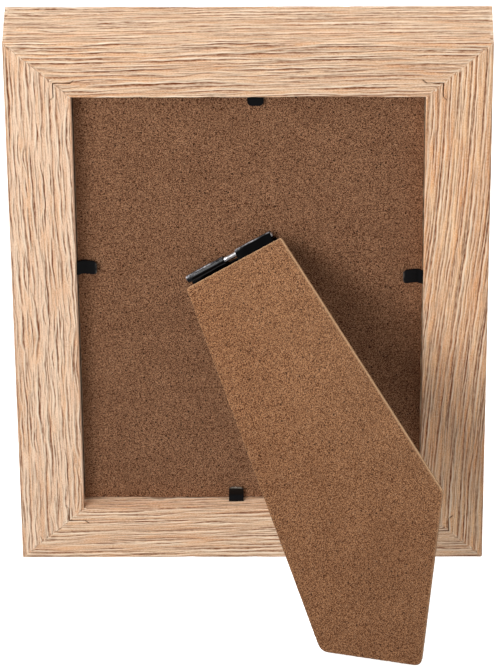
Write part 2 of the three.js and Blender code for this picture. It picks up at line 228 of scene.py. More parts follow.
class Shader:
    """A Principled material and short calls that add nodes to it."""

    def __init__(self, name, **sockets):
        self.material = bpy.data.materials.new(name)
        self.material.use_nodes = True
        self.tree = self.material.node_tree
        self.bsdf = self.tree.nodes["Principled BSDF"]
        self.filled(self.bsdf, **sockets)

    def node(self, kind, **settings):
        made = self.tree.nodes.new("ShaderNode" + kind)
        for key, value in settings.items():
            setattr(made, key, value)
        return made

    def put(self, socket, value):
        """Links or sets an input. A plain colour may come without its alpha."""
        if isinstance(value, bpy.types.NodeSocket):
            self.tree.links.new(value, socket)
        else:
            socket.default_value = (*value[:3], 1) if socket.type == "RGBA" else value

    def filled(self, made, **values):
        """The node, with these values on its inputs. An underscore stands for a space."""
        for name, value in values.items():
            self.put(made.inputs[name.replace("_", " ")], value)
        return made

    def math(self, operation, a, b=0.0, clamp=False):
        made = self.node("Math", operation=operation, use_clamp=clamp)
        self.put(made.inputs[0], a)
        self.put(made.inputs[1], b)
        return made.outputs[0]

    def scaled(self, source, scale):
        """Coordinates times a scale for each axis."""
        made = self.node("VectorMath", operation="MULTIPLY")
        self.put(made.inputs[0], source)
        made.inputs[1].default_value = scale
        return made.outputs[0]

    def noise(self, coordinates, scale=1.0, detail=2.0, roughness=0.5, distortion=0.0):
        made = self.filled(self.node("TexNoise"), Vector=coordinates, Scale=scale, Detail=detail,
                           Roughness=roughness, Distortion=distortion)
        return made.outputs["Fac"]

    def specks(self, coordinates, scale, radius, edge):
        """1 inside scattered spots, 0 outside."""
        made = self.filled(self.node("TexVoronoi", feature="F1"), Vector=coordinates, Scale=scale)
        return self.span(made.outputs["Distance"], radius, radius - edge, 0.0, 1.0)

    def span(self, value, low, high, to_low=0.0, to_high=1.0):
        """The value, moved from low..high to to_low..to_high and held there."""
        made = self.filled(self.node("MapRange"), Value=value, From_Min=low, From_Max=high,
                           To_Min=to_low, To_Max=to_high)
        return made.outputs["Result"]

    def ramp(self, value, *stops):
        made = self.node("ValToRGB")
        self.put(made.inputs["Fac"], value)
        elements = made.color_ramp.elements
        while len(elements) < len(stops):
            elements.new(0.5)
        for element, (position, colour) in zip(elements, stops):
            element.position = position
            element.color = (*colour, 1)
        return made.outputs["Color"]

    def mix(self, factor, a, b, blend="MIX"):
        made = self.node("Mix", data_type="RGBA", blend_type=blend)
        return self.filled(made, Factor=factor, A=a, B=b).outputs["Result"]

    def attribute(self, name, output="Fac"):
        return self.node("Attribute", attribute_name=name).outputs[output]

    def millimetres(self):
        """The piece's own coordinates, in millimetres."""
        source = self.node("TexCoord").outputs["Object"]
        return self.scaled(source, (1 / MM,) * 3)

    def colour(self, socket):
        self.put(self.bsdf.inputs["Base Color"], socket)

    def tint(self, attribute, amount, colour):
        """Mixes a colour over what is painted so far, where the attribute is high."""
        painted = self.bsdf.inputs["Base Color"].links[0].from_socket
        share = self.math("MULTIPLY", self.attribute(attribute), amount)
        self.colour(self.mix(share, painted, colour))

    def rough(self, socket):
        self.put(self.bsdf.inputs["Roughness"], socket)

    def bump(self, height, distance):
        made = self.filled(self.node("Bump"), Distance=distance, Height=height)
        self.put(self.bsdf.inputs["Normal"], made.outputs["Normal"])


# ---- Materials ----
LIP_HIGHLIGHT_AND_FLECK_COLOUR = linear(255, 236, 210)  # painted highlight on the raised lips beside the strokes; also the colour of the pale flecks
GROOVE_AND_SHADE_TINT = (0.24, 0.103, 0.042)  # what the wood is multiplied by at the bottom of a stroke, and by the painted shade along the outer edge


def oak_material(name, light, warm, grey, stripe):
    """Oak-grain surface. The streaks come from the mesh, the fibres from noise along it. The lips beside the
    streaks get a painted highlight, and the outer back edge gets a painted shade.
    """
    s = Shader(name, Specular_IOR_Level=0.1)
    grain = s.attribute("grain_place", "Vector")
    streak = s.attribute("streak")
    lip_highlight = s.attribute("lip_highlight")
    blotch = s.noise(s.scaled(grain, (0.03, 0.22, 1)), detail=2)
    band = s.noise(s.scaled(grain, (0.018, 0.7, 1)), detail=3, distortion=0.3)
    fibre = s.noise(s.scaled(grain, (0.1, 2.6, 1)), detail=2, roughness=0.6)
    fleck = s.noise(s.scaled(grain, (1.6, 5.0, 1)), detail=2, roughness=0.7)
    broken = s.span(s.noise(s.scaled(grain, (0.5, 1.6, 1)), detail=3), 0.36, 0.6, 0.6, 1.2)
    streak = s.math("MULTIPLY", streak, broken)
    base = s.ramp(blotch, (0.36, grey), (0.5, light), (0.62, warm))
    base = s.mix(s.span(band, 0.4, 0.66, 0.0, 0.75), base, stripe)
    base = s.mix(s.span(fibre, 0.5, 0.72, 0.0, 0.5), base, GROOVE_AND_SHADE_TINT, "MULTIPLY")
    base = s.mix(s.span(fleck, 0.46, 0.66, 0.0, 0.45), base, LIP_HIGHLIGHT_AND_FLECK_COLOUR)
    base = s.mix(s.span(fleck, 0.46, 0.36, 0.0, 0.25), base, GROOVE_AND_SHADE_TINT, "MULTIPLY")
    # Painted highlight: pale colour on the raised lips beside the strokes.
    base = s.mix(s.math("MULTIPLY", lip_highlight, 0.95, clamp=True), base, LIP_HIGHLIGHT_AND_FLECK_COLOUR)
    base = s.mix(s.math("MULTIPLY", streak, 0.95, clamp=True), base, GROOVE_AND_SHADE_TINT, "MULTIPLY")
    # Painted shade: the wood is darkened along the edge between the back and the outer face.
    base = s.mix(s.math("MULTIPLY", s.attribute("rim"), 0.4), base, GROOVE_AND_SHADE_TINT, "MULTIPLY")
    s.colour(base)
    s.rough(s.span(fibre, 0.3, 0.7, 0.52, 0.72))
    s.bump(s.math("ADD", fibre, s.math("MULTIPLY", fleck, 0.5)), 0.05 * MM)
    return s.material


def hardboard_material(name, light, dark, speck, fleck):
    """Pressed wood fibre: fine mottling, dark specks and short pale fibres lying any way.
    This one returns the Shader, so that the strut can be tinted further."""
    s = Shader(name, Specular_IOR_Level=0.1)
    place = s.millimetres()
    fine = s.noise(place, scale=3.3, detail=2, roughness=0.9)
    cloud = s.noise(place, scale=0.09, detail=2)
    base = s.mix(s.span(fine, 0.475, 0.55), dark, light)
    base = s.mix(s.span(cloud, 0.3, 0.7, 0.0, 0.2), base, dark)
    fibres = s.noise(place, scale=1.9, detail=4, distortion=2.4)
    base = s.mix(s.span(fibres, 0.58, 0.66, 0.0, 0.6), base, fleck)
    spots = s.specks(place, 0.42, 0.15, 0.06)
    dots = s.specks(s.scaled(place, (1, 1, 1.4)), 0.8, 0.17, 0.09)
    spots = s.math("MAXIMUM", s.math("MULTIPLY", spots, 0.9), s.math("MULTIPLY", dots, 0.65))
    base = s.mix(spots, base, speck)
    s.colour(base)
    s.rough(s.span(fine, 0.3, 0.7, 0.74, 0.92))
    s.bump(s.math("SUBTRACT", fine, s.math("MULTIPLY", spots, 0.5)), 0.09 * MM)
    return s


def black_metal(name, colour, worn, rough_low, rough_high, shine, bare_glint=None):
    """Black finish on steel. Where the mask of worn paint and painted glints is high, the colour of uncoated metal
    is painted in: partly worn paint, partly a painted highlight.
    """
    s = Shader(name, Specular_IOR_Level=shine)
    place = s.millimetres()
    scuff = s.noise(place, scale=1.3, detail=4, roughness=0.65)
    base = s.mix(s.span(scuff, 0.58, 0.8, 0.0, 0.5), colour, worn)
    if bare_glint:
        # Painted highlight and worn paint: the colour of uncoated metal where the mask is high.
        wear_and_glint_share = s.math("MULTIPLY", s.attribute("wear_and_glint"), s.span(scuff, 0.35, 0.6), clamp=True)
        base = s.mix(wear_and_glint_share, base, bare_glint)
    s.colour(base)
    s.rough(s.span(scuff, 0.3, 0.75, rough_low, rough_high))
    s.bump(scuff, 0.012 * MM)
    return s.material


def dull_steel(name, colour, rust):
    """Steel with patches of another colour."""
    s = Shader(name, Metallic=0.85)
    place = s.millimetres()
    patch = s.noise(place, scale=1.1, detail=4, roughness=0.6)
    s.colour(s.mix(s.span(patch, 0.4, 0.65), colour, rust))
    s.rough(s.span(patch, 0.3, 0.7, 0.35, 0.6))
    s.bump(patch, 0.02 * MM)
    return s.material


def glass_material(name):
    """Clear sheet glass, faintly smeared."""
    s = Shader(name, Transmission_Weight=1.0, IOR=1.5, Base_Color=(0.975, 0.99, 0.985))
    smear = s.noise(s.millimetres(), scale=0.02, detail=3)
    s.rough(s.span(smear, 0.45, 0.8, 0.0, 0.025))
    return s.material


def card_material(name, colour, shade):
    """Mat board: pale pulp, slightly uneven."""
    s = Shader(name, Roughness=0.9)
    place = s.millimetres()
    pulp = s.noise(place, scale=3.5, detail=4, roughness=0.7)
    cloud = s.noise(place, scale=0.12, detail=2)
    base = s.mix(s.span(pulp, 0.3, 0.7), shade, colour)
    s.colour(s.mix(s.span(cloud, 0.35, 0.65, 0.0, 0.3), base, shade))
    s.rough(s.span(pulp, 0.3, 0.7, 0.8, 0.95))
    s.bump(pulp, 0.05 * MM)
    return s.material


def flock_material(name, colour, tip):
    """Short upright pile, brushed in patches, with pale tips."""
    s = Shader(name, Roughness=1.0, Sheen_Weight=0.6, Sheen_Roughness=0.4)
    place = s.millimetres()
    pile = s.noise(place, scale=4.5, detail=3, roughness=0.8)
    brushed = s.noise(s.scaled(place, (0.12, 0.12, 0.05)), detail=3, distortion=0.8)
    base = s.mix(s.span(pile, 0.35, 0.7), colour, tip)
    s.colour(s.mix(s.span(brushed, 0.4, 0.65, 0.0, 0.45), base, tip))
    s.bump(pile, 0.15 * MM)
    return s.material


# ---- Rails ----
ARC_STEPS = 5  # steps round a soft edge
HIDDEN_WALL = -8 * MM  # below this the inner wall is behind the panel


def section_rows():
    """Round a rail's section: distance in from the outer edge, n, and the outward normal.
    Each corner is w, n, its radius and the spacing of the rows up to the next corner."""
    corners = [
        (RAIL_WIDTH, LIP_FACE, 0, 2.0 * MM),
        (RAIL_WIDTH, HIDDEN_WALL, 0, 0.3 * MM),
        (RAIL_WIDTH, -ROOM, INNER_ARRIS, 0.16 * MM),
        (ROOM, -ROOM, BACK_ARRIS, 0.24 * MM),
        (ROOM, ROOM - RAIL_DEPTH, FRONT_ARRIS, 0.32 * MM),
        (LIP_EDGE - ROOM, ROOM - RAIL_DEPTH, FRONT_ARRIS, 0.4 * MM),
        (LIP_EDGE - ROOM, LIP_FACE, INNER_ARRIS, 1.2 * MM),
    ]
    places = [np.array(corner[:2]) for corner in corners]
    rows = []
    for i, (_, _, radius, spacing) in enumerate(corners):
        after = places[(i + 1) % len(places)]
        into, away = unit(places[i] - places[i - 1]), unit(after - places[i])
        centre = places[i] - radius * into + radius * away
        for k in range(ARC_STEPS + 1 if radius else 0):
            turn = math.pi / 2 * k / ARC_STEPS
            normal = into * math.sin(turn) - away * math.cos(turn)
            rows.append((*(centre + radius * normal), *normal))
        next_radius = corners[(i + 1) % len(corners)][2]
        start = places[i] + radius * away
        run = after - next_radius * away - start
        steps = max(1, round(np.linalg.norm(run) / spacing))
        normal = (away[1], -away[0])
        for k in range(1 if radius else 0, steps):
            rows.append((*(start + run * k / steps), *normal))
    return np.array(rows).T


def column_places(reach):
    """Where the columns of a rail lie, from -1 to 1: closer near the ends, for the nails."""
    near_end, wide, narrow = 8 * MM, 0.7 * MM, 0.4 * MM
    middle = np.arange(0, reach - near_end, wide)
    ends = np.arange(reach - near_end, reach - narrow / 2, narrow)
    half = np.concatenate([middle, ends, [reach]]) / reach
    return np.concatenate([-half[:0:-1], half])


# A family of grain strokes, in millimetres: the spacing of its lanes, a stroke's length, the
# gap to the next in its lane, its half width and its depth. tone is how dark it is.
BOLD = dict(lane=(2.0, 4.0), length=(14, 46), gap=(1, 10), half=(0.23, 0.38), depth=0.36, tone=1.0)
MIDDLE = dict(lane=(0.9, 1.9), length=(9, 30), gap=(1, 9), half=(0.16, 0.27), depth=0.2, tone=0.95)
FAINT = dict(lane=(0.6, 1.1), length=(5, 18), gap=(1, 5), half=(0.12, 0.19), depth=0.08, tone=0.5)

# How each rail's grain runs: stretch lengthens its strokes, crowd spaces its lanes, slant is
# its steepest run across the rail, wave is its waviness in millimetres, stray is each
# stroke's own and broad widens the strokes.
GRAIN = {
    "top": dict(seed=11, stretch=1.25, crowd=0.92, slant=0.025, wave=0.2, stray=0.07, broad=1.0),
    "bottom": dict(seed=23, stretch=1.1, crowd=0.95, slant=0.03, wave=0.16, stray=0.06, broad=0.9),
    "right": dict(seed=37, stretch=0.75, crowd=1.1, slant=0.03, wave=0.24, stray=0.09, broad=0.85),
    "left": dict(seed=53, stretch=1.6, crowd=0.88, slant=-0.11, wave=0.08, stray=0.05, broad=0.85),
}
MOST_DRIFT = 9 * MM  # more than any rail's grain drifts across it


def flow_line(rng, slant, wave, t):
    """How far the grain has drifted across the rail, at each place t along it."""
    phase = rng.uniform(0, 2 * math.pi, 3)
    straight = 60 * MM  # the slant fades beyond this
    lean = slant * straight * np.tanh(t / straight)
    slow = np.sin(t / (23 * MM) + phase[0]) + 0.6 * np.sin(t / (11 * MM) + phase[1])
    return lean + wave * MM * (slow + 0.3 * np.sin(t / (4.3 * MM) + phase[2]))


def strokes(rng, family, crowd, stretch, s_end, reach):
    """One family's strokes: lane, start, length, half width and force of each."""
    lane = -MOST_DRIFT
    while lane < s_end + MOST_DRIFT:
        lane += rng.uniform(*family["lane"]) * crowd * MM
        t = -reach - rng.uniform(0, family["length"][1]) * MM
        while t < reach:
            length = rng.uniform(*family["length"]) * stretch * MM
            shift = rng.normal(0, 0.25) * family["lane"][0] * MM
            yield lane + shift, t, length, rng.uniform(*family["half"]) * MM, rng.uniform(0.6, 1.05)
            t += length + rng.uniform(*family["gap"]) * MM


def carve(s, t, grain):
    """Depth, streak and raised lip of the grain at each point of a rail's surface. The lips are later painted pale
    as highlights.
    """
    rng = np.random.default_rng(grain["seed"])
    depth, streak, lip_highlight = np.zeros_like(t), np.zeros_like(t), np.zeros_like(t)
    reach = np.abs(t).max()
    drifted = s[:, None] - flow_line(rng, grain["slant"], grain["wave"], t)
    for family in (FAINT, MIDDLE, BOLD):
        run = strokes(rng, family, grain["crowd"], grain["stretch"], s[-1], reach)
        for lane, start, length, half, force in run:
            bend = rng.normal(0, 0.35 * MM)
            wiggle, pitch = rng.uniform(0, 2 * math.pi), rng.uniform(1.1, 2.6) * MM
            window = slice(*np.searchsorted(s, [lane - MOST_DRIFT, lane + MOST_DRIFT]))
            if window.start == window.stop:
                continue
            near = t[window]
            share = (near - start) / length
            inside = (share > 0) & (share < 1)
            taper = np.where(inside, np.sin(np.pi * np.clip(share, 0, 1)), 0) ** 0.35
            ragged = 1 + 0.2 * np.sin(near / (1.7 * MM) + wiggle)
            stray = grain["stray"] * MM * np.sin(near / pitch + wiggle)
            line = lane + bend * (share - 0.5) ** 2 * 4 + stray
            off = (drifted[window] - line) / (grain["broad"] * half * (0.5 + 0.5 * taper) * ragged)
            pit = force * taper * np.exp(-(off ** 4))
            lip = force * taper * np.exp(-((off - 2.0) ** 2))
            depth[window] = np.maximum(depth[window], family["depth"] * MM * pit)
            streak[window] = np.maximum(streak[window], family["tone"] * pit)
            lip_highlight[window] = np.maximum(lip_highlight[window], family["tone"] * lip)
    return depth, streak, lip_highlight


def nail_line(name):
    """The line of a corner nail in x and v, worked out from its CAD node."""
    x_side, v_side = CORNERS[name]
    points = to_leaning(node_points("v_nail_" + name))
    tip = NAIL_FLARE + NAIL_HALF / math.sqrt(2)
    x = np.max(x_side * points[:, 0]) - tip
    v = np.max(v_side * points[:, 2]) - tip
    legs = [(NAIL_FLARE, -NAIL_LEG - NAIL_FLARE), (0, -NAIL_LEG), (0, 0)]
    legs += [(-NAIL_LEG, 0), (-NAIL_LEG - NAIL_FLARE, NAIL_FLARE)]
    return np.array([(x_side * (x + a), v_side * (v + b)) for a, b in legs])


def distance_to_line(x, v, line):
    """How far each place is from a line of straight stretches."""
    nearest = np.full(x.shape, np.inf)
    for start, end in zip(line[:-1], line[1:]):
        step = end - start
        share = ((x - start[0]) * step[0] + (v - start[1]) * step[1]) / (step @ step)
        share = np.clip(share, 0, 1)
        gap = np.hypot(x - start[0] - share * step[0], v - start[1] - share * step[1])
        nearest = np.minimum(nearest, gap)
    return nearest


# Each side's middle on the outer edge in x and v, the way along it, the way in and its length.
SIDES = {
    "bottom": ((0, 0), (1, 0), (0, 1), WIDTH),
    "top": ((0, HEIGHT), (-1, 0), (0, -1), WIDTH),
    "right": ((WIDTH / 2, HEIGHT / 2), (0, 1), (-1, 0), HEIGHT),
    "left": ((-WIDTH / 2, HEIGHT / 2), (0, -1), (1, 0), HEIGHT),
}


def smooth_run(rng, count):
    """A random line in which neighbours are alike."""
    return np.convolve(rng.uniform(-1.4, 1.4, count), [0.25, 0.5, 0.25], "same")


def side_point(side, t, w):
    """The x and v of a place t along a side and w in from its outer edge."""
    middle, along, inward, _ = SIDES[side]
    return middle[0] + t * along[0] + w * inward[0], middle[1] + t * along[1] + w * inward[1]


def arris_row(w_out, n_out):
    """The middle row of the soft edge between a rail's back and its outer face."""
    return int(np.argmax(n_out - w_out))


def tear_ends(side, rows, depth, streak, lip_highlight):
    """Splinters missing and raised along both mitres. The raised splinters are painted pale as highlights."""
    rng = np.random.default_rng(GRAIN[side]["seed"] + 1)
    for end, step in ((0, 1), (-1, -1)):
        torn = np.clip(smooth_run(rng, rows), 0, 1)
        raised = np.clip(smooth_run(rng, rows), 0, 1)
        for column in (end, end + step):
            depth[:, column] += CHIP * torn
            streak[:, column] = np.maximum(0.5 * streak[:, column], 0.8 * torn)
            lip_highlight[:, column] = np.maximum(lip_highlight[:, column], raised)


def press_nails(side, t, w, on_back, depth, streak):
    """The depth and streak with each nail's slit, and smooth wood close beside it."""
    x, v = side_point(side, t, w)
    for name in CORNERS:
        gap = distance_to_line(x, v, nail_line(name))
        opening = NAIL_HALF * (0.85 + 0.2 * np.sin((x - 0.6 * v) / (0.9 * MM)))
        slit = np.clip((opening - gap) / (0.5 * NAIL_HALF), 0, 1) * on_back
        cover = np.clip(3 - gap / NAIL_HALF, 0, 1) * on_back
        depth = depth * (1 - 0.8 * cover) + NAIL_GROOVE * slit
        streak = np.maximum(streak, 0.9 * slit)
    return depth, streak


def build_rail(side, material):
    """The rail's section, swept from mitre to mitre, with the grain cut into it."""
    w, n, w_out, n_out = section_rows()
    s = np.concatenate([[0], np.cumsum(np.hypot(np.diff(w), np.diff(n)))])
    length = SIDES[side][3]
    columns = column_places(length / 2 - RAIL_WIDTH - MITRE_GAP)
    t = columns * (length / 2 - MITRE_GAP - w[:, None])
    depth, streak, lip_highlight = carve(s, t, GRAIN[side])
    tear_ends(side, len(s), depth, streak, lip_highlight)
    shown = (n_out != 0) | (w_out < 0) | (n > HIDDEN_WALL)
    rise = 0.8 * ROOM * lip_highlight
    depth = np.where(shown[:, None], depth - rise, 0)
    on_back = (n_out > 0.99)[:, None]
    depth, streak = press_nails(side, t, w[:, None], on_back, depth, streak)
    w_cut = w[:, None] - depth * w_out[:, None]
    n_cut = n[:, None] - depth * n_out[:, None]
    t_cut = columns * (length / 2 - MITRE_GAP - w_cut)
    x, v = side_point(side, t_cut, w_cut)
    made = make_mesh("rail_" + side + "_grained", to_world(x, n_cut, v), tube(*t.shape), sharp=60)
    store(made, "streak", streak)
    # The lips' mask, which the oak material paints as a highlight.
    store(made, "lip_highlight", lip_highlight)
    # Painted shade along the edge between the back and the outer face; the top rail has none.
    near_edge = np.exp(-np.abs(s - s[arris_row(w_out, n_out)]) / RIM_SHADE_REACH) * (side != "top")
    store(made, "rim", np.broadcast_to(near_edge[:, None], t.shape))
    own_place = np.full(t.shape, 10.0 * GRAIN[side]["seed"])  # so that no two rails look alike
    place = np.stack([t / MM, np.broadcast_to(s[:, None], t.shape) / MM, own_place], -1)
    store(made, "grain_place", place, "FLOAT_VECTOR")
    finish_piece(made, material, "oak", "frame", "rail_" + side)


# Each board's main colour, its warmer and greyer ones, and that of its darker bands.
BOARDS = {
    "pale_oak_and_painted_light": ((249, 214, 183), (243, 195, 155), (246, 209, 179), (222, 168, 126)),
    "oak": ((242, 203, 166), (237, 183, 139), (239, 197, 161), (211, 153, 108)),
    "darker_oak_and_painted_shade": ((252, 202, 154), (244, 180, 126), (246, 194, 147), (216, 146, 94)),
}


def build_rails():
    """The two side rails are of a paler and of a redder board than the other two. The paler board is on the side
    the key light comes from, and the redder, darker one is on the far side: partly the wood's own tone, partly
    painted light and shade.
    """
    boards = {name: oak_material(name, *(linear(*c) for c in board)) for name, board in BOARDS.items()}
    for side in SIDES:
        # Painted light and shade on top of the wood's own tone: the paler board goes on the light's side and the
        # darker one on the far side.
        build_rail(side, boards[{"right": "pale_oak_and_painted_light", "left": "darker_oak_and_painted_shade"}.get(side, "oak")])


# ---- Corner nails and sheets ----
def build_nails():
    """A strip driven in on edge along each nail's line, lightly corrugated, its top sunk."""
    steel = dull_steel("nail_steel", linear(112, 80, 56), linear(78, 48, 30))
    for name in CORNERS:
        node = "v_nail_" + name
        corners = nail_line(name)
        pieces = [np.linspace(a, b, 9)[:-1] for a, b in zip(corners[:-1], corners[1:])]
        line = np.vstack([*pieces, corners[-1:]])
        along = np.gradient(line, axis=0)
        along /= np.hypot(*along.T)[:, None]
        sideways = np.stack([-along[:, 1], along[:, 0]], -1)
        wave = NAIL_WAVE * np.sin(np.arange(len(line)) * 1.6)
        bottom = to_leaning(node_points(node))[:, 1].min()
        half = NAIL_STEEL / 2
        near, far = (line + sideways * (wave + step)[:, None] for step in (half, -half))
        rows = [(near, NAIL_TOP), (near, bottom), (far, bottom), (far, NAIL_TOP)]
        points = np.array([to_world(edge[:, 0], n, edge[:, 1]) for edge, n in rows])
        made = make_mesh(node + "_strip", points.reshape(-1, 3), tube(4, len(line)))
        finish_piece(made, steel, "bright_steel", "frame", node)


def leaning_box(node):
    """The least and greatest x, n and v of a CAD node."""
    points = to_leaning(node_points(node))
    return points.min(0), points.max(0)


# ---- Tabs ----
# Half the width, the reach from the rail and how strongly the tip's edge is painted with a highlight in the colour
# of uncoated metal.
TABS = {
    "top": (2.4 * MM, 5.7 * MM, 0.0),
    "left": (2.4 * MM, 6.0 * MM, 0.4),
    "right": (2.4 * MM, 6.0 * MM, 0.3),
    "bottom": (2.25 * MM, 5.3 * MM, 1.0),
}
TAB_THICKNESS = 0.5 * MM
TAB_EDGE = 0.12 * MM  # width of its bevels
TAB_CUT = 1.3 * MM  # radius of the tip's corners
TAB_ROOT = -8.0 * MM  # the driven end, in the rail
TAB_DIP = 0.75 * MM  # how far the strip sinks towards the panel, and where
TAB_DIP_AT = 2.1 * MM
TAB_BEND = (-0.2 * MM, 1.3 * MM)  # two distances from the rail; the points there are worked out and not used
TAB_GLINT_REACH = 0.35 * MM  # how far the painted highlight reaches in from the tip


def tab_curve(z, tip):
    """How far the strip has sunk towards the panel, at a distance z from the rail."""
    down = np.clip(z / TAB_DIP_AT, 0, 1)
    back = np.clip((z - TAB_DIP_AT) / (tip - TAB_DIP_AT), 0, 1)
    return -TAB_DIP * (down * down * (3 - 2 * down) - back ** 1.35)


def slab_faces(rows, columns):
    """Faces of a slab whose two sides are grids of points, the second after the first."""
    faces = grid_faces(rows, columns)
    index = np.arange(rows * columns).reshape(rows, columns)
    rim = [*index[0], *index[1:, -1], *index[-1, -2::-1], *index[-2:0:-1, 0]]
    faces += [[k + index.size for k in face][::-1] for face in faces]
    pairs = zip(rim, rim[1:] + rim[:1])
    return faces + [[int(k) for k in (a, a + index.size, b + index.size, b)] for a, b in pairs]


def build_tab(side, material):
    """One strip, from inside the rail to its tip, that bends where it leaves the rail."""
    middle, along, inward, _ = SIDES[side]
    x, height, v = np.mean(leaning_box("tab_root_" + side), 0)
    place = (x - middle[0]) * along[0] + (v - middle[1]) * along[1]
    widest, tip, bare_glint = TABS[side]
    z = np.concatenate([np.linspace(TAB_ROOT, -0.4 * MM, 6), np.linspace(0, tip, 49)])
    near_tip = np.clip((z - tip + TAB_CUT) / TAB_CUT, 0, 1)
    half = widest - TAB_CUT * (1 - np.sqrt(1 - near_tip ** 2))
    across = np.linspace(-1, 1, 15)[:, None] * half
    sag = tab_curve(z, tip) + 0 * across
    points = []
    for lift in (TAB_THICKNESS / 2, -TAB_THICKNESS / 2):
        x, v = side_point(side, place + across, RAIL_WIDTH + z + 0 * across)
        points.append(to_world(x, height + sag + lift, v).reshape(-1, 3))
    made = make_mesh("tab_strip_" + side, np.concatenate(points), slab_faces(*across.shape))
    soften(made, TAB_EDGE)
    places = to_leaning(np.array([vertex.co for vertex in made.data.vertices]))
    inset = (places[:, 0] - middle[0]) * inward[0] + (places[:, 2] - middle[1]) * inward[1]
    reach = RAIL_WIDTH + tip - inset
    # Painted highlight along the tip's edge.
    store(made, "wear_and_glint", bare_glint * np.exp(-(reach / TAB_GLINT_REACH) ** 2))
    finish_piece(made, material, "black_tab", None, "tab_" + side, "tab_root_" + side)
    ends = [side_point(side, place, RAIL_WIDTH + z) for z in TAB_BEND]
    start, end = (to_world(x, height, v) for x, v in ends)
    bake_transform(made)
    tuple(start)
    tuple(end)


def build_tabs():
    black = black_metal("tab_black", linear(7, 7, 9), linear(17, 18, 22), 0.3, 0.45, shine=0.12,
                        bare_glint=linear(150, 144, 134))
    for side in SIDES:
        build_tab(side, black)


# ---- Mat and tray ----
COIN_PITCH = (42 * MM, 45 * MM)  # across and up
WINDOW_RADIUS = 15.5 * MM
WINDOW_SLANT = 0.9 * MM  # how much wider a window is at its front
POCKET_RADIUS = 17.2 * MM
POCKET_FLOOR = 0.9 * MM  # thickness under a pocket
POCKET_RIM = 0.6 * MM  # radius of its rim and of its floor's edge
PAST = 1 * MM  # how far a drill goes on past the sheet


def drill(centre, profile, steps=96):
    """Points and faces of a solid turned about an axis along n, from its radius and n."""
    turn = np.linspace(0, 2 * math.pi, steps, endpoint=False)[:, None]
    radius, n = np.array(profile).T
    x = centre[0] + radius * np.cos(turn)
    v = centre[1] + radius * np.sin(turn)
    return to_world(x, n, v).reshape(-1, 3), tube(steps, len(radius))


def coin_centres():
    """The middles of the pockets in x and v: two columns of three."""
    across, up = COIN_PITCH
    return [(i * across, HEIGHT / 2 + k * up) for i in (-0.5, 0.5) for k in (-1, 0, 1)]


def drilled(name, node, profile):
    """A sheet with the same hole for each coin."""
    corners, faces = box_points(*leaning_box(node))
    made = make_mesh(name, to_world(*corners.T), faces, sharp=30)
    drills = joined([drill(centre, profile) for centre in coin_centres()])
    cutter = make_mesh("drills", *drills)
    cut = made.modifiers.new("cut", "BOOLEAN")
    cut.operation = "DIFFERENCE"
    cut.solver = "EXACT"
    cut.object = cutter
    apply_modifiers(made)
    bpy.data.objects.remove(cutter)
    made.data.shade_smooth()
    made.data.set_sharp_from_angle(angle=math.radians(30))
    return made


def build_mat():
    """The mat's windows are cut at a slant, so that their edge shows from the front."""
    front, back = (corner[1] for corner in leaning_box("window_mat"))
    slope = WINDOW_SLANT / (back - front)
    profile = [(WINDOW_RADIUS + WINDOW_SLANT + PAST * slope, front - PAST),
               (WINDOW_RADIUS - PAST * slope, back + PAST)]
    made = drilled("mat_with_windows", "window_mat", profile)
    card = card_material("mat_card", linear(248, 242, 228), linear(236, 227, 208))
    finish_piece(made, card, "mat_card", "frame", "window_mat")


def build_tray():
    """Each pocket has a rolled rim and a rounded floor, as flocked board has."""
    front, back = (corner[1] for corner in leaning_box("coin_tray"))
    radius, rim, floor = POCKET_RADIUS, POCKET_RIM, back - POCKET_FLOOR
    arc = np.linspace(math.radians(8), math.pi / 2, 7)  # from 0 it would graze the front face
    profile = [(radius + rim, front - PAST)]
    profile += [(radius + rim * (1 - math.sin(a)), front + rim * (1 - math.cos(a))) for a in arc]
    profile += [(radius - rim * (1 - math.cos(a)), floor - rim * (1 - math.sin(a))) for a in arc]
    made = drilled("tray_with_pockets", "coin_tray", profile)
    flock = flock_material("flock", linear(24, 36, 66), linear(52, 66, 104))
    finish_piece(made, flock, "tray_flock", "frame", "coin_tray")


# ---- Strut ----
hinge = joints["strut_hinge"]
PIN_AT = np.array(hinge["pos_m"])
UNDERCUT = 0.75 * MM  # the punched edge slopes in this much towards the inner face
STRUT_STEP = 0.45 * MM  # between points round its outline
STRUT_ARRIS = 0.32 * MM


def board_axes():
    """Along the pin, down the board and out of its outer face, as the board stands."""
    mesh = frame["nodes"]["strut_board"].data
    face = unit(max(mesh.polygons, key=lambda polygon: polygon.area).normal)
    pin = unit(hinge["axis"])
    if face @ OUT < 0:
        face = -face
    down = unit(np.cross(pin, face))
    if (node_points("strut_board").mean(0) - PIN_AT) @ down < 0:
        pin, down = -pin, -down
    return pin, down, face


PIN, DOWN, FACE = board_axes()


def from_board(a, d, f):
    """Points along the pin, down the board and out of its face, as points in the row frame."""
    a, d, f = np.broadcast_arrays(a, d, f)
    return PIN_AT + a[..., None] * PIN + d[..., None] * DOWN + f[..., None] * FACE


def convex_outline(points):
    """The corners of the convex outline of flat points, anticlockwise."""
    points = sorted(map(tuple, np.round(points, 7)))

    def chain(ordered):
        kept = []
        for p in ordered:
            while len(kept) > 1:
                (ax, ay), (bx, by) = kept[-2], kept[-1]
                if (bx - ax) * (p[1] - ay) - (by - ay) * (p[0] - ax) > 1e-12:
                    break
                kept.pop()
            kept.append(p)
        return kept[:-1]

    return np.array(chain(points) + chain(points[::-1]))


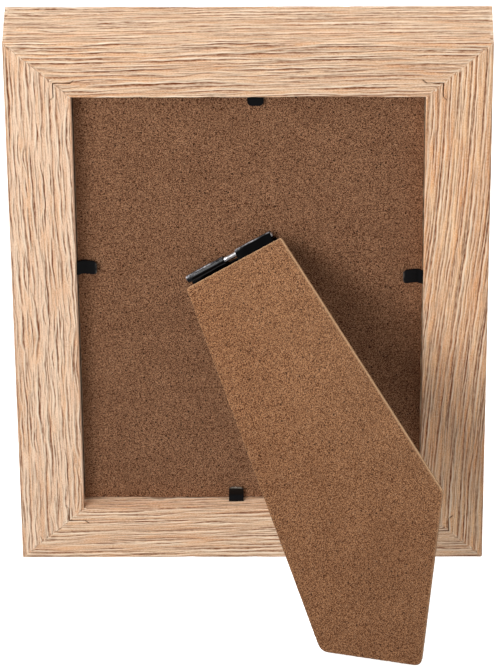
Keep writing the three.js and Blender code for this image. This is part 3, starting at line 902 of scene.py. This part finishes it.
def resampled(outline, step):
    """Points along a closed outline at an even step, with the outward normal at each."""
    closed = np.vstack([outline, outline[:1]])
    lengths = np.hypot(*np.diff(closed, axis=0).T)
    at = np.concatenate([[0], np.cumsum(lengths)])
    count = int(at[-1] / step)
    places = np.arange(count) * at[-1] / count
    points = np.stack([np.interp(places, at, closed[:, k]) for k in (0, 1)], -1)
    ahead, behind = np.roll(points, -2, 0), np.roll(points, 2, 0)
    tangent = ahead - behind
    tangent /= np.hypot(*tangent.T)[:, None]
    return points, np.stack([tangent[:, 1], -tangent[:, 0]], -1)


def smooth_noise(rng, count, waves, size):
    """A closed random line of so many points, with detail up to so many waves round it."""
    turn = np.arange(count) / count * 2 * math.pi
    total = np.zeros(count)
    for k in rng.choice(np.arange(3, waves), 40, replace=False):
        total += rng.normal() * np.cos(k * turn + rng.uniform(0, 2 * math.pi))
    return size * total / total.std()


def edge_rows(thickness):
    """Over the board's edge from its outer face to its inner one: inset and depth of each row."""
    outer = [(0.8 * MM, 0), (0.6 * MM, 0), (0.45 * MM, 0)]
    outer += [(STRUT_ARRIS * (1 - math.sin(a)), STRUT_ARRIS * (1 - math.cos(a)))
              for a in np.linspace(0, math.pi / 2, 5)]
    wall = [(0, depth) for depth in np.linspace(STRUT_ARRIS, thickness - STRUT_ARRIS, 9)[1:-1]]
    return outer + wall + [(inset, thickness - depth) for inset, depth in outer[::-1]]


def build_strut():
    """A board with a fibrous edge all round. Its edge is painted pale, partly as a worn edge and partly as a
    painted highlight that is strongest where the edge faces the light. The board is darker towards the foot.
    """
    rng = np.random.default_rng(71)
    flat = node_points("strut_board") - PIN_AT
    local = np.stack([flat @ PIN, flat @ DOWN, flat @ FACE], -1)
    outer = local[:, 2].max()
    thickness = np.ptp(local[:, 2])
    outline = convex_outline(local[local[:, 2] > outer - 0.05 * MM][:, :2])
    points, normals = resampled(outline, STRUT_STEP)
    count = len(points)
    rows = edge_rows(thickness)
    grid = []
    for inset, depth in rows:
        near_edge = math.exp(-inset / (0.6 * MM))
        on_wall = STRUT_ARRIS < depth < thickness - STRUT_ARRIS
        rough = smooth_noise(rng, count, count // 3, (0.045 if on_wall else 0.03) * MM)
        cut = inset + 0.07 * MM + near_edge * np.clip(rough, -0.05 * MM, 0.12 * MM)
        ring = points - normals * (cut + UNDERCUT * depth / thickness)[:, None]
        grid.append(from_board(*ring.T, outer - depth))
    total = len(rows)
    faces = [[r * count + k, r * count + (k + 1) % count, (r + 1) * count + (k + 1) % count,
              (r + 1) * count + k] for r in range(total - 1) for k in range(count)]
    faces += [list(range(count))[::-1], [(total - 1) * count + k for k in range(count)]]
    made = make_mesh("strut_hardboard", np.reshape(grid, (-1, 3)), faces, sharp=50)
    # Painted highlight mixed with a worn edge: pale on the outer arris and, less, on the wall, weighted by how far
    # each point faces one fixed side.
    edge = [math.exp(-inset / (0.25 * MM)) if depth < STRUT_ARRIS else 0.4 for inset, depth in rows]
    lit = np.clip(normals @ unit([-np.sign(PIN[0]), -0.6]), 0, 1)
    store(made, "edge", np.outer(edge, 0.2 + 0.8 * lit).ravel())
    # Darker towards the foot: a share from 0 at the top of the board to 1 at its foot.
    along = (points[:, 1] - points[:, 1].min()) / np.ptp(points[:, 1])
    store(made, "darker_to_foot", np.tile(along, total))
    face = hardboard_material("strut_hardboard", linear(177, 128, 90), linear(70, 30, 4),
                              linear(40, 14, 6), linear(206, 164, 128))
    # Painted highlight and worn edge: the edge is tinted pale.
    face.tint("edge", 0.9, linear(246, 204, 158))
    # Darker towards the foot.
    face.tint("darker_to_foot", 0.38, linear(70, 42, 26))
    finish_piece(made, face.material, "strut_hardboard", "strut", "strut_board")


# ---- Hinge ----
# The hinge's own axes: a along the pin, z away from it and y off the panel, so that the
# same shape makes both leaves. The fixed leaf lies on the panel, the moving one on the board.
SHEET = 0.5 * MM
KNUCKLE_OUTER = 1.2 * MM
ROLL = math.radians(288)
LEAF_OUTER = 1.45 * MM  # from the pin's axis to the leaf's far face
LEAF_REACH = 11 * MM
LEAF_NOTCH = 2.3 * MM  # the leaf's flat starts this far from the pin
LEAF_CUT = 2.0 * MM  # radius of its far corners
LEAF_EDGE = 0.1 * MM
DENTS = 0.1 * MM
HINGE_HALF = 15 * MM
HINGE_SHIFT = -1.9 * MM
LOW_KNUCKLE = (-HINGE_HALF, -1.8 * MM)
HIGH_KNUCKLE = (2.6 * MM, HINGE_HALF)
PIN_RADIUS = 0.66 * MM
RIVET = dict(head=1.9 * MM, shank=1.0 * MM, rise=0.55 * MM)


def leaf_axes(fixed):
    """Along the pin, away from it, and off what the leaf lies on."""
    if not fixed:
        return PIN, DOWN, FACE
    away = np.cross(OUT, PIN)
    return PIN, unit(away * np.sign(away @ DOWN)), OUT


def rolled_sheet(a_from, a_to, side, seed, crest_at):
    """A strip that comes off its leaf and curls round the pin: its places, its mask of worn paint and painted
    highlight, and its faces.
    """
    rng = np.random.default_rng(seed)
    radius = KNUCKLE_OUTER - SHEET / 2
    flat = np.linspace(LEAF_NOTCH + 1 * MM, 0, 15)[:-1]
    angles = math.pi / 2 + np.linspace(0, 1, 57) * ROLL
    bend = np.concatenate([np.full(len(flat), math.pi / 2), angles])
    slope = 0.5 - 0.5 * np.cos(np.pi * np.clip(flat / LEAF_NOTCH, 0, 1))
    joggle = (LEAF_OUTER - KNUCKLE_OUTER) * slope
    z = np.concatenate([flat, radius * np.cos(angles)])
    y = np.concatenate([radius + joggle, radius * np.sin(angles)])
    a = np.linspace(a_from, a_to, 61)[:, None]
    share = (a - a_from) / (a_to - a_from)
    phase = rng.uniform(0, 2 * math.pi, 4)
    swell = DENTS * (np.sin(share * 7.3 + phase[0]) + 0.6 * np.sin(share * 15.1 + phase[1]))
    rounding = 0.16 * MM * (np.exp(-share * 24) + np.exp(-(1 - share) * 24))
    skins = (SHEET / 2 + 0.5 * (swell - rounding), -SHEET / 2 + 0 * a)
    outer, inner = (
        np.stack([z + np.cos(bend) * skin, side * (y + np.sin(bend) * skin)]) for skin in skins
    )
    zz, yy = np.concatenate([outer, inner[..., ::-1]], 2)
    # Painted highlight: a bright line round the knuckle at the given angle, and a bright patch at its first end.
    crest = np.exp(-(((bend - crest_at) / 0.2) ** 2)) * (0.55 + 0.45 * np.sin(share * 9 + phase[2]))
    tip = np.exp(-((share / 0.16) ** 2)) * np.exp(-(((bend - crest_at - 0.15) / 0.45) ** 2))
    wear_and_glint = np.concatenate([np.maximum(crest, tip), 0 * crest], 1)
    return np.broadcast_to(a, zz.shape).T, zz.T, yy.T, wear_and_glint.T, tube(zz.shape[1], len(a))


def leaf_sheet(side):
    """The flat of a leaf, with rounded far corners: its places, an empty mask of worn paint and painted highlight,
    and its faces.
    """
    z = np.concatenate([[LEAF_NOTCH], np.linspace(LEAF_NOTCH + 0.3 * MM, LEAF_REACH, 30)])
    near_corner = np.clip((z - LEAF_REACH + LEAF_CUT) / LEAF_CUT, 0, 1)
    half = HINGE_HALF - LEAF_CUT * (1 - np.sqrt(1 - near_corner ** 2))
    a = HINGE_SHIFT + np.concatenate([half, -half[::-1]])[:, None]
    z = np.concatenate([z, z[::-1]])[:, None]
    y = np.array([LEAF_OUTER - SHEET, LEAF_OUTER]) * side
    a, z, y = np.broadcast_arrays(a, z, y)
    return a, z, y, np.zeros(a.shape), tube(len(a), 2)


def build_leaf(name, fixed, knuckle, seed, material, body, node):
    """A rolled knuckle and the flat of its leaf. A line along each knuckle's top and a patch at its first end get
    a painted highlight in the colour of uncoated metal, where each one would shine.
    """
    side = -1 if fixed else 1
    pin, down, off = leaf_axes(fixed)
    start, end = (HINGE_SHIFT + along for along in knuckle)
    # The angle of the painted highlight line round each knuckle, near the upper outline that the camera sees.
    crest_at = math.pi * (1.03 if fixed else 0.79)
    # worn collects each part's mask of worn paint and painted highlight.
    parts, worn = [], []
    for a, z, y, wear_and_glint, faces in (rolled_sheet(start, end, side, seed, crest_at), leaf_sheet(side)):
        points = PIN_AT + a[..., None] * pin + z[..., None] * down + y[..., None] * off
        parts.append((points.reshape(-1, 3), faces))
        worn.append(wear_and_glint.ravel())
    made = make_mesh(name, *joined(parts), sharp=35)
    store(made, "wear_and_glint", np.concatenate(worn))
    soften(made, LEAF_EDGE)
    finish_piece(made, material, "black_hinge", body, node)


def turned(name, centre, axis, profile, steps=48):
    """A solid turned about any axis. The profile is radius and distance along the axis."""
    axis = unit(axis)
    side = unit(np.cross(axis, [0.3, 0.5, 0.8]))
    other = np.cross(axis, side)
    turn = np.linspace(0, 2 * math.pi, steps, endpoint=False)[:, None]
    radius, along = np.array(profile).T
    points = centre + (radius * np.cos(turn))[..., None] * side
    points = points + (radius * np.sin(turn))[..., None] * other + along[:, None] * axis
    return make_mesh(name, points, tube(steps, len(radius)))


def build_pin(material):
    """A wire pin, necked a little where it shows between the knuckles, with upset ends."""
    half = HINGE_HALF + 0.3 * MM
    shank = np.linspace(-half + 0.25 * MM, half - 0.25 * MM, 80)
    along = np.concatenate([[-half, -half + 0.1 * MM], shank, [half - 0.1 * MM, half]])
    radius = np.full(along.shape, PIN_RADIUS)
    radius[[0, -1]] = PIN_RADIUS - 0.3 * MM
    radius[[1, -2]] = PIN_RADIUS - 0.1 * MM
    gap_middle = (LOW_KNUCKLE[1] + HIGH_KNUCKLE[0]) / 2
    radius -= 0.05 * MM * np.exp(-(((along - gap_middle) / (1.6 * MM)) ** 2))
    made = turned("hinge_wire_pin", PIN_AT + HINGE_SHIFT * PIN, PIN, np.stack([radius, along], -1))
    finish_piece(made, material, "bright_steel", "frame", "hinge_pin")


def build_rivet(node, material):
    """A domed head on the leaf, its shank, and the tail spread inside the panel."""
    points = node_points(node)
    centre = points.mean(0)
    along = (points - centre) @ OUT
    top, bottom = along.max(), along.min()
    crown = points[along > top - 0.01 * MM].mean(0)
    centre = crown + ((centre - crown) @ OUT) * OUT
    head, shank, rise = RIVET["head"], RIVET["shank"], RIVET["rise"]
    under_head = top - rise - 0.02 * MM
    profile = [(head * math.sin(a), top - rise * (1 - math.cos(a)) ** 0.9)
               for a in np.linspace(0.06, math.pi / 2, 12)]
    profile += [(head * 0.97, under_head), (shank, under_head), (shank, bottom + rise),
                (head - 0.1 * MM, bottom + rise - 0.1 * MM), (head - 0.3 * MM, bottom),
                (0.05 * MM, bottom)]
    made = turned(node + "_domed", centre, OUT, profile, steps=32)
    finish_piece(made, material, "black_hinge", "frame", node)


def build_hinge():
    """The panel's leaf is glossy and the strut's is dull. Both get painted highlights in the colour of uncoated
    metal, partly standing for worn paint.
    """
    bare_glint = linear(238, 238, 242)
    black = black_metal("hinge_black", linear(6, 6, 7), linear(14, 14, 16), 0.12, 0.18,
                        shine=0.2, bare_glint=bare_glint)
    dull = black_metal("hinge_dull_black", linear(6, 6, 7), linear(16, 16, 18), 0.35, 0.45,
                       shine=0.008, bare_glint=bare_glint)
    build_leaf("hinge_leaf_on_panel", True, LOW_KNUCKLE, 5, black, "frame", "hinge_fixed_leaf")
    build_leaf("hinge_leaf_on_strut", False, HIGH_KNUCKLE, 9, dull, "strut", "hinge_moving_leaf")
    build_pin(dull_steel("pin_steel", linear(214, 214, 218), linear(150, 148, 146)))
    for node in ("hinge_rivet_1", "hinge_rivet_2"):
        build_rivet(node, black)


def paint_sheets():
    """The panel and the glass keep their CAD shapes. The glass throws no shadow on the mat."""
    panel = hardboard_material("panel_hardboard", linear(172, 127, 95), linear(64, 28, 4),
                               linear(34, 12, 5), linear(194, 154, 122))
    paint(frame["nodes"]["back_panel"], panel.material)
    glazing = frame["nodes"]["glazing"]
    paint(glazing, glass_material("glazing_glass"))
    glazing.visible_shadow = False


# ---- Studio ----
CAMERA = dict(azimuth=-179.4276, elevation=22.0791, roll=-0.3112, distance=1.68125)
CAMERA_AIM = (0.12 * MM, 0.0, 87.18 * MM)  # x, n and v
SENSOR = 36
LENS = 303.7
STUDIO_RADIUS = 6.0  # well beyond the camera of any view


def aimed(name, data, aim, azimuth, elevation, distance, roll=0.0):
    """A camera or light that looks at a place from these angles, azimuth 0 being from -Y."""
    a, e = math.radians(azimuth), math.radians(elevation)
    back = Vector((math.sin(a) * math.cos(e), -math.cos(a) * math.cos(e), math.sin(e)))
    turn = back.to_track_quat("Z", "Y").to_matrix().to_4x4()
    turn = turn @ Matrix.Rotation(math.radians(roll), 4, "Z")
    made = add_object(name, data)
    made.matrix_world = Matrix.Translation(aim + back * distance) @ turn
    return made


def build_camera():
    data = bpy.data.cameras.new("camera")
    data.lens = LENS
    data.sensor_width = SENSOR
    aim = Vector(to_world(*map(np.array, CAMERA_AIM)))
    bpy.context.scene.camera = aimed("camera", data, aim, **CAMERA)


def area_light(name, size, power, **place):
    """A round white light that looks at the middle of the frame."""
    data = bpy.data.lights.new(name, "AREA")
    data.shape = "DISK"
    data.size = size
    data.energy = power
    aimed(name, data, Vector((0, 0, HEIGHT / 2)), **place)


def white_backdrop(made):
    """Plain and bright, seen by the camera only, so that it throws no light on the object."""
    white = (1, 1, 1)
    s = Shader(made.name + "_white", Roughness=0.9, Emission_Strength=0.8, Emission_Color=white)
    cloud = s.noise(s.node("TexCoord").outputs["Object"], scale=1.5, detail=2)
    s.colour(s.ramp(cloud, (0.3, (0.86, 0.86, 0.86)), (0.7, (0.9, 0.9, 0.9))))
    paint(made, s.material)
    made.visible_diffuse = False
    made.visible_glossy = False


def build_floor():
    """A plain floor inside a round backdrop, so that a low view has no horizon."""
    r = STUDIO_RADIUS
    white_backdrop(make_mesh("floor", *box_points((-r, -r, -0.02), (r, r, 0.0))))
    profile = [(r * math.cos(a), r * math.sin(a)) for a in np.radians(np.linspace(-89, 89, 24))]
    backdrop = turned("backdrop", np.zeros(3), [0, 0, 1], profile)
    backdrop.visible_shadow = False
    white_backdrop(backdrop)


def build_world():
    world = bpy.data.worlds.new("studio")
    world.use_nodes = True
    background = world.node_tree.nodes["Background"]
    background.inputs["Color"].default_value = (1, 1, 1, 1)
    background.inputs["Strength"].default_value = 0.52
    bpy.context.scene.world = world
    bpy.context.scene.view_settings.view_transform = "Standard"


build_camera()
build_world()
build_floor()
area_light("key", azimuth=144, elevation=17, distance=1.0, size=0.6, power=6.6)
area_light("glint", azimuth=112, elevation=32, distance=1.0, size=0.18, power=1.9)
area_light("side", azimuth=-105, elevation=35, distance=1.0, size=0.6, power=2.9)
area_light("front", azimuth=36, elevation=18, distance=1.5, size=0.9, power=6)

build_rails()
build_nails()
paint_sheets()
build_tabs()
build_mat()
build_tray()
build_strut()
build_hinge()
